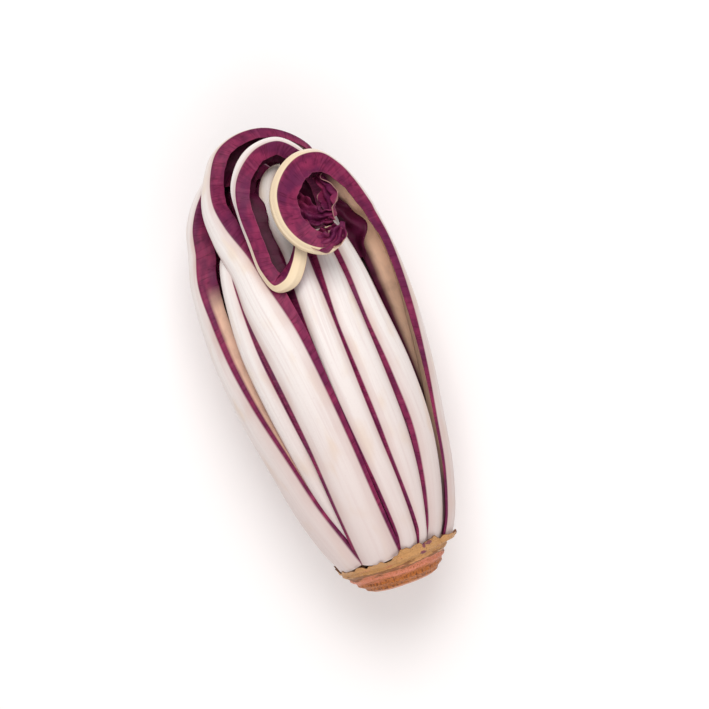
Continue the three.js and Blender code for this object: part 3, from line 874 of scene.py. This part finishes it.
def root_material():
    n = Nodes("root_bark")
    right, height, above = n.fact("root_place")
    rim, top, _ = n.fact("root_zone")

    def grain(round_it, up_it, scale):
        where = [
            n.math("MULTIPLY", right, round_it),
            n.math("MULTIPLY", height, up_it),
            n.math("MULTIPLY", above, round_it),
        ]
        return n.noise(n.vector(*where), scale, 3.0, 0.6)

    def squared_ratio(value, middle, half_size):
        ratio = n.math("DIVIDE", n.math("SUBTRACT", value, middle), half_size)
        return n.math("POWER", n.math("ABSOLUTE", ratio), 2.0)

    # Bands: tan above, a brown line, a pink ridge, and orange with dark ticks at the bottom
    rings = grain(0.11, 0.75, 1.0)
    ticks = grain(1.4, 0.3, 1.0)
    specks = grain(1.0, 1.0, 1.7)
    band = n.math("ADD", height, n.math("MULTIPLY", n.math("SUBTRACT", rings, 0.5), 6.0))
    low = n.ramp(band, 4.2, 6.2, 1.0, 0.0)
    ridge = n.mix(n.ramp(specks, 0.42, 0.62, 0.0, 0.55), ROOT_PINK, ROOT_ORANGE)
    skin = n.mix(n.ramp(band, 7.2, 8.8), ridge, ROOT_TAN)
    skin = n.mix(n.ramp(rings, 0.55, 0.7, 0.0, 0.6), skin, ROOT_PINK)
    skin = n.mix(low, skin, ROOT_ORANGE)
    line = n.math("ABSOLUTE", n.math("SUBTRACT", band, 8.4))
    skin = n.mix(n.ramp(line, 0.2, 0.8, 0.65, 0.0), skin, ROOT_BROWN)
    skin = n.mix(n.math("MULTIPLY", low, n.ramp(ticks, 0.48, 0.62, 0.0, 0.8)), skin, ROOT_BROWN)
    skin = n.mix(n.ramp(specks, 0.6, 0.7, 0.0, 0.8), skin, ROOT_BROWN)

    # Dry rim with a brown edge, scars, and the pale cut end
    skin = n.mix(n.math("MULTIPLY", rim, n.ramp(specks, 0.35, 0.6, 0.9, 0.4)), skin, ROOT_TAN)
    skin = n.mix(n.ramp(rim, 0.75, 1.0, 0.0, 0.75), skin, ROOT_BROWN)
    ragged = n.math("MULTIPLY", n.math("SUBTRACT", specks, 0.5), 2.5)
    for scar_right, scar_height, half_width, half_height in ROOT_SCARS:
        aside = squared_ratio(right, scar_right, half_width)
        upward = squared_ratio(height, scar_height, half_height)
        away = n.math("ADD", n.math("ADD", aside, upward), ragged)
        scar = n.math("MULTIPLY", n.ramp(away, 0.5, 1.1, 0.85, 0.0), top)
        skin = n.mix(scar, skin, ROOT_SCAR)
    cut = n.ramp(height, 0.5, 1.3, 0.85, 0.0)
    skin = n.mix(cut, skin, n.mix(n.ramp(specks, 0.4, 0.65), ROOT_END, ROOT_PINK))

    n.feed(n.surface.inputs["Base Color"], skin)
    n.feed(n.surface.inputs["Roughness"], n.ramp(rings, 0.46, 0.62, 0.5, 0.25))
    relief = n.math("ADD", n.math("MULTIPLY", rings, 1.5), n.math("MULTIPLY", ticks, 0.8))
    n.bump(n.math("ADD", relief, specks), 0.8, 0.001)
    return n.material


LEAF_SKIN = leaf_material()
ROOT_SKIN = root_material()

# Crumpled ends inside the crooks, by the leaf they belong to: points and half widths along the sheet,
# the way it faces, how far it has the painted shade of a blade's inner face, and how pale its edge is.
# The sheets deep in the heart are dark all over: painted shade under the crooks.
CRUMPLED_ENDS = {
    "leaf_right_spiral": [
        {
            "points": [[8.5, 157, 31], [11.5, 151, 34], [15, 146.5, 37], [20.5, 144.5, 38]],
            "widths": [3, 4.4, 4.2, 3], "facing": [0.5, -0.5, 1], "dark": 0, "pale": 0,
        },
        {
            "points": [[20, 163, 27], [21.5, 156, 30], [20.5, 149, 34], [18, 144, 38]],
            "widths": [2, 3.4, 4, 2.6], "facing": [-0.9, 0.2, 1], "dark": 0, "pale": 0.3,
        },
        {
            "points": [[7.5, 146, 36], [11, 140.5, 38.5], [16, 138.5, 40], [21, 140, 41]],
            "widths": [2.4, 3.2, 3.4, 2.4], "facing": [0, 0.7, 1], "dark": 0, "pale": 1,
        },
        {
            "points": [[10, 140, 43.5], [13, 136.8, 46.6], [18, 136.2, 47.2], [22, 139.5, 46]],
            "widths": [2, 3.4, 3.6, 2], "facing": [0, 0.1, 1], "dark": 0, "pale": 0.6,
        },
    ],
    "leaf_left_edge": [
        # Half dark: painted shade in the gap under leaf_left_edge
        {
            "points": [[-29, 136, 6], [-30, 147, 7], [-28.5, 158, 6], [-24, 166, 4]],
            "widths": [3, 5, 5, 4], "facing": [0, 0, 1], "dark": 0.5, "pale": 0,
        },
    ],
    # From here on: dark sheets deep in the heart, painted shade under the crooks
    "leaf_heart_1": [
        {
            "points": [[-16, 148, 0], [-15, 158, -2], [-13, 168, -3], [-7, 175, -5]],
            "widths": [7, 9, 8, 4], "facing": [0, 0, 1], "dark": 1, "pale": 0,
        },
        {
            "points": [[4, 150, -4], [4, 160, -5], [4, 169, -6], [5, 177, -6]],
            "widths": [8, 10, 9, 5], "facing": [0, 0, 1], "dark": 1, "pale": 0,
        },
    ],
    "leaf_heart_2": [
        {
            "points": [[20, 128, 8], [19, 142, 12], [15, 156, 14], [9, 168, 12]],
            "widths": [10, 11, 10, 8], "facing": [-0.2, 0, 1], "dark": 1, "pale": 0,
        },
    ],
    "leaf_heart_3": [
        {
            "points": [[0, 128, 10], [0, 140, 10], [1, 152, 7], [4, 163, 2]],
            "widths": [6, 9, 10, 8], "facing": [0, -0.2, 1], "dark": 1, "pale": 0,
        },
    ],
    "leaf_heart_4": [
        {
            "points": [[-22, 128, 4], [-18, 142, 8], [-12, 156, 9], [-4, 168, 7]],
            "widths": [8, 10, 10, 7], "facing": [0.2, 0, 1], "dark": 1, "pale": 0,
        },
    ],
}
SHEET_SEED_STEP = 0.6

leaf_spots = []
for seed, leaf in enumerate(LEAVES, 1):
    name = leaf["name"]
    shells = [leaf_sections(leaf, seed)]
    leaf_spots.append(shells[0]["spot"].reshape(-1, 3))
    for i, sheet in enumerate(CRUMPLED_ENDS.get(name, [])):
        shells.append(crumpled_blade(sheet, seed + i * SHEET_SEED_STEP))
    mesh = shells_mesh(name + "_fine", [shell["spot"] for shell in shells])
    for fact in ("place", "zone", "tone"):
        values = np.concatenate([shell[fact].reshape(-1, 3) for shell in shells])
        add_fact(mesh, "leaf_" + fact, values)
    add_piece(name + "_fine", mesh, LEAF_SKIN, name)


# Root: a cut-off cone whose dry skin ends in a ragged rim over the leaves' feet

ROOT_PROFILE = np.array(
    [[0, 0], [6, 0.1], [11.5, 0.2], [13.6, 0.9], [15, 1.8], [18, 5], [20.6, 8.5], [22.2, 10.6]]
)
ROOT_TURNS = 240
CONE_ROWS = 34

# The cone is rough by waves, listed by their count round it; the finer ones are fainter.
# Small ridges run down it, and rings lie round it that swing up and down.
ROUGH_WAVES = (3, 5, 8, 13, 21, 34)
ROUGH_BULGE = 0.016
ROUGH_RISE = 0.25
RIDGE_BULGE = 0.006
RIDGE_COUNT = 40
RING_DEPTH = 0.45
RING_RADIANS_PER_MM = 2.3
RING_SWAY = 1.3

# The rim reaches from its foot to a height that is listed by turn, and is ragged by waves:
# height, count round the rim, phase. It lies over the leaves' outline and its scales flare
# outwards. Its inner face is at least half a millimetre behind the outer one.
RIM_FOOT = 11.2
RIM_TURNS = [-180, -120, -95, -60, -40, -15, 3, 10, 30, 45, 60, 85, 110, 150, 180]
RIM_REACH = [12.6, 13.2, 14, 12.4, 12.6, 12.5, 13, 15.2, 14.6, 15, 13.8, 12.9, 12.8, 12.6, 12.6]
RIM_WAVES = [(0.35, 17, 0), (0.3, 29, 1), (0.2, 53, 0)]
RIM_ROWS = 9
RIM_RADIUS = 22.2
RIM_INNER_ROWS = 4
RIM_INNER_RADIUS = 21.6
RIM_OUTER_GAP = 0.75
RIM_INNER_GAP = 0.25
RIM_INNER_DROP = 0.1
SCALE_FLARE = 0.35
SCALE_COUNT = 9
# Radius and height of the rows that close the root between the leaves' feet
STUB_ROWS = [(19, 11.6), (8, 11.8), (5, 16), (3, 21), (0.3, 23)]
# How much of the rim's look the rows of points have
RIM_LOOK_ROWS = [34, 35, 41, 42, 43, 44]
RIM_LOOK_SHARES = [0, 0.6, 0.7, 1, 1, 0.7]

# The leaves' outline just above the root: the heights and the degrees that count for one turn
ENVELOPE_HEIGHTS = (12.3, 17)
ENVELOPE_DEGREES = 3
LEAST_ENVELOPE = 0.8
ENVELOPE_SMOOTHINGS = 6


def leaf_envelope(turns):
    """The leaves' outer radius over the barrel's, by turn, just above the root."""
    spots = np.concatenate(leaf_spots)
    low, high = ENVELOPE_HEIGHTS
    near = spots[(spots[:, 1] > low) & (spots[:, 1] < high)]
    angle = np.degrees(np.arctan2(near[:, 0], near[:, 2]))
    radius = np.hypot(near[:, 0], near[:, 2]) / listed(BARREL_HEIGHTS, BARREL_RADII, near[:, 1])
    found = []
    for turn in turns:
        apart = np.abs((angle - turn + 180) % 360 - 180)
        found.append(radius[apart < ENVELOPE_DEGREES].max(initial=LEAST_ENVELOPE))
    found = np.array(found)
    for _ in range(ENVELOPE_SMOOTHINGS):
        found = (np.roll(found, 1) + 2 * found + np.roll(found, -1)) / 4
    return found


def cone_rows(angle):
    """Radii and heights of the rows of the rough cone."""
    rough = sum(np.sin(angle * k + k * k * 1.3) / k**0.6 for k in ROUGH_WAVES)
    profile_shares = np.linspace(0, 1, len(ROOT_PROFILE))
    rows = []
    for share in np.linspace(0, 1, CONE_ROWS):
        radius = float(listed(profile_shares, ROOT_PROFILE[:, 0], share))
        height = float(listed(profile_shares, ROOT_PROFILE[:, 1], share))
        bulge = 1 + ROUGH_BULGE * rough * smoothstep(0.3, 0.7, share)
        bulge = bulge + RIDGE_BULGE * np.sin(angle * RIDGE_COUNT + height)
        sway = RING_SWAY * np.sin(angle * 2 + 1) + 0.5 * rough
        ring = np.sin(height * RING_RADIANS_PER_MM + sway)
        ring = RING_DEPTH * smoothstep(0.35, 0.6, share) * ring
        rise = ROUGH_RISE * rough * smoothstep(0.2, 0.6, share)
        rows.append((radius * bulge + ring, height + rise))
    return rows


def rim_rows(turns, angle):
    """Radii and heights of the rows up the rim's outer face and down its inner one."""
    envelope = leaf_envelope(turns)
    rim = listed(RIM_TURNS, RIM_REACH, turns)
    for height, count, phase in RIM_WAVES:
        rim = rim + height * np.sin(angle * count + phase)
    rows = []
    for lift in np.linspace(0, 1, RIM_ROWS):
        height = RIM_FOOT + (rim - RIM_FOOT) * lift
        over = envelope * listed(BARREL_HEIGHTS, BARREL_RADII, height)
        flare = RIM_OUTER_GAP + SCALE_FLARE * lift**2 * (1 + np.sin(angle * SCALE_COUNT + 2))
        rows.append((np.maximum(over, RIM_RADIUS) + flare, height))
    for lift in np.linspace(1, 0, RIM_INNER_ROWS):
        height = RIM_FOOT + (rim - RIM_INNER_DROP - RIM_FOOT) * lift
        over = envelope * listed(BARREL_HEIGHTS, BARREL_RADII, height)
        rows.append((np.maximum(over, RIM_INNER_RADIUS) + RIM_INNER_GAP, height))
    return rows


def root_mesh():
    turns = np.linspace(-180, 180, ROOT_TURNS, endpoint=False)
    angle = np.radians(turns)
    rows = []
    for radius, height in cone_rows(angle) + rim_rows(turns, angle) + STUB_ROWS:
        radius = np.broadcast_to(radius, angle.shape)
        height = np.broadcast_to(height, angle.shape)
        right = ROOT_SHIFT * (1 - height / ROOT_STRAIGHT_HEIGHT) + radius * np.sin(angle)
        rows.append(np.stack([right, height, radius * np.cos(angle)], -1))
    spots = np.array(rows)
    rim_look = np.interp(range(len(rows)), RIM_LOOK_ROWS, RIM_LOOK_SHARES)
    zone = np.zeros(spots.shape)
    zone[..., 0] = rim_look[:, None]
    zone[..., 1] = np.cos(angle) > 0
    mesh = shells_mesh("root_fine", [spots])
    add_fact(mesh, "root_place", spots)
    add_fact(mesh, "root_zone", zone)
    return mesh


add_piece("root_fine", root_mesh(), ROOT_SKIN, "root")


# Floor, lights and camera

def plain_material(name, code, roughness):
    n = Nodes(name)
    n.surface.inputs["Base Color"].default_value = colour(code)
    n.surface.inputs["Roughness"].default_value = roughness
    return n.material


FLOOR_SIZE = 3.0
far = FLOOR_SIZE / 2
floor_corners = [(-far, -far, 0), (far, -far, 0), (far, far, 0), (-far, far, 0)]
floor_mesh = bpy.data.meshes.new("floor")
floor_mesh.from_pydata(floor_corners, [], [(0, 1, 2, 3)])
floor_mesh.materials.append(plain_material("pale_table", "FCF8F7", 0.7))
floor = bpy.data.objects.new("floor", floor_mesh)
bpy.context.scene.collection.objects.link(floor)

WORLD_COLOUR = colour("FAF9F9")
WORLD_STRENGTH = 0.6
world = bpy.data.worlds.new("studio")
world.use_nodes = True
world.node_tree.nodes["Background"].inputs[0].default_value = WORLD_COLOUR
world.node_tree.nodes["Background"].inputs[1].default_value = WORLD_STRENGTH
bpy.context.scene.world = world
bpy.context.scene.view_settings.view_transform = "Standard"

# Soft lights: name, place in metres, side, power
SOFT_LIGHTS = [
    ("key", (0.12, 0.5, 0.9), 0.55, 5.4),
    ("fill", (-0.1, -0.6, 0.7), 0.8, 2.4),
]
LIGHTS_AIM = Vector((0, 0, 0.04))
for name, place, side, power in SOFT_LIGHTS:
    light = bpy.data.lights.new(name, "AREA")
    light.size = side
    light.energy = power
    lamp = bpy.data.objects.new(name, light)
    lamp.location = place
    lamp.rotation_mode = "QUATERNION"
    lamp.rotation_quaternion = (Vector(place) - LIGHTS_AIM).to_track_quat("Z", "Y")
    bpy.context.scene.collection.objects.link(lamp)

# The camera looks straight down on the head from about arm's length
CAMERA_LENS = 100
SENSOR_WIDTH = 36
CAMERA_DISTANCE = 0.788
CAMERA_TARGET = (11.5, 92.6, 0)
HEAD_SLANT = math.radians(18.6)

camera_data = bpy.data.cameras.new("camera")
camera_data.lens = CAMERA_LENS
camera_data.sensor_width = SENSOR_WIDTH
camera = bpy.data.objects.new("camera", camera_data)
up = Vector((math.sin(HEAD_SLANT), math.cos(HEAD_SLANT), 0))
back = Vector((0, 0, 1))
side = up.cross(back)
pose = Matrix((side, up, back)).transposed().to_4x4()
pose.translation = Vector(head_to_row(CAMERA_TARGET)) + back * CAMERA_DISTANCE
camera.matrix_world = pose
bpy.context.scene.collection.objects.link(camera)
bpy.context.scene.camera = camera
